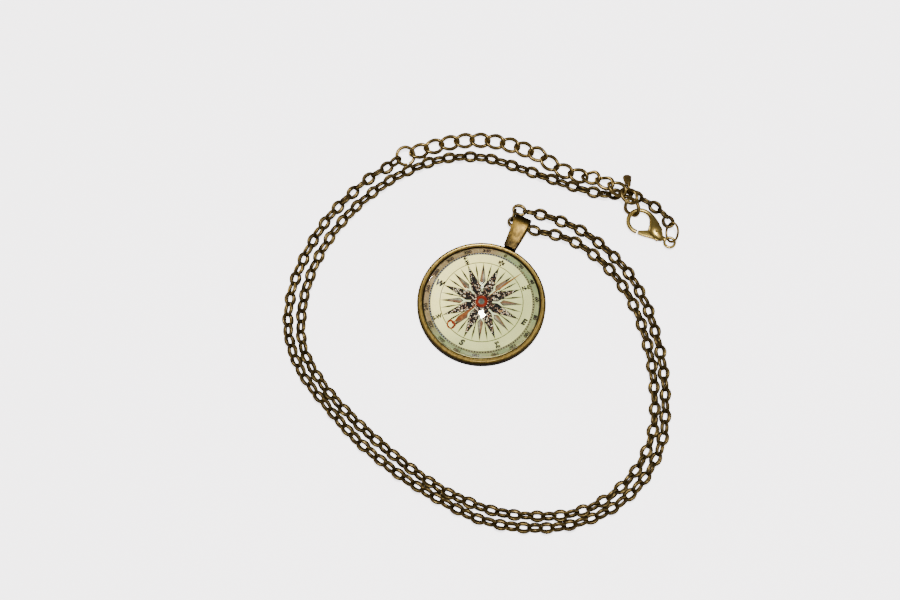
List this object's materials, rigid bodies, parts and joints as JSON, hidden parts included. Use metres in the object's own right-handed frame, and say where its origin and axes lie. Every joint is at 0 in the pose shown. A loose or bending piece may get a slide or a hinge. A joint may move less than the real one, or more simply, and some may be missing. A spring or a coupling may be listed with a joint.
{
  "type": "compass pendant necklace",
  "caption": "Antique-bronze pendant necklace: a glass cabochon over a printed compass rose, on a fine cable chain with an extender and a lobster clasp.",
  "frame": {"origin": "centre of the pendant's flat back, on the table that the necklace lies on", "axes": "+Z out of the table, through the glass; +Y up the page as the pendant is looked at from the front; +X to the right"},
  "size_m": [0.0861, 0.091, 0.006],
  "materials": {
    "tray_bronze": "antiqued bronze plate, worn bright on edges",
    "dark_bronze": "dark antiqued bronze plate",
    "extender_bronze": "antiqued bronze plate",
    "antique_brass": "polished antiqued brass plate",
    "spring_steel": "drawn spring wire",
    "clear_glass": "polished",
    "printed_paper": "printed, glued under the glass",
    "clear_glue": "clear film"
  },
  "bodies": {
    "chain": {"strand_a": "dark_bronze", "strand_b": "dark_bronze", "bail_link_1": "dark_bronze", "bail_link_2": "dark_bronze", "bail_link_3": "dark_bronze", "bail_link_4": "dark_bronze", "bail_link_5": "dark_bronze", "strand_a_end_link": "dark_bronze", "strand_b_end_link": "dark_bronze", "open_jump_ring": "extender_bronze", "extender_link_01": "extender_bronze", "extender_link_02": "extender_bronze", "extender_link_03": "extender_bronze", "extender_link_04": "extender_bronze", "extender_link_05": "extender_bronze", "extender_link_06": "extender_bronze", "extender_link_07": "extender_bronze", "extender_link_08": "extender_bronze", "extender_link_09": "extender_bronze", "extender_link_10": "extender_bronze", "extender_link_11": "extender_bronze", "extender_link_12": "extender_bronze", "extender_link_13": "extender_bronze", "extender_link_14": "extender_bronze", "extender_link_15": "extender_bronze", "extender_link_16": "extender_bronze", "extender_link_17": "extender_bronze", "clasp_jump_ring": "extender_bronze", "charm_ring": "extender_bronze"},
    "pendant": {"tray": "tray_bronze", "dial_adhesive": "clear_glue", "dial": "printed_paper", "glue_film": "clear_glue", "glass_cabochon": "clear_glass", "bail": "tray_bronze"},
    "clasp": {"clasp_body": "antique_brass", "lever_pin": "antique_brass", "lever_spring": "spring_steel"},
    "lever": {"clasp_lever": "antique_brass"},
    "charm": {"charm": "extender_bronze"}
  },
  "joints": [
    {"name": "pendant_swing", "type": "hinge", "parent": "chain", "child": "pendant", "pos_m": [0.00875, 0.01793, 0.00205], "axis": [-0.8988, 0.4384, 0], "range_deg": [0, 120]},
    {"name": "clasp_roll", "type": "hinge", "parent": "chain", "child": "clasp", "pos_m": [0.04211, 0.01425, 0.00108], "axis": [-0.7683, 0.63, 0.1134], "range_deg": [-8, 18]},
    {"name": "lever_pivot", "type": "hinge", "parent": "clasp", "child": "lever", "pos_m": [0.03862, 0.01636, 0.0012], "axis": [0, 0, -1], "range_deg": [0, 28], "stiffness_Nm_per_rad": 0.002, "springref_deg": -28.65},
    {"name": "charm_swing", "type": "hinge", "parent": "chain", "child": "charm", "pos_m": [0.03275, 0.02667, 0.00283], "axis": [1, 0, 0], "range_deg": [-15, 100]}
  ]
}
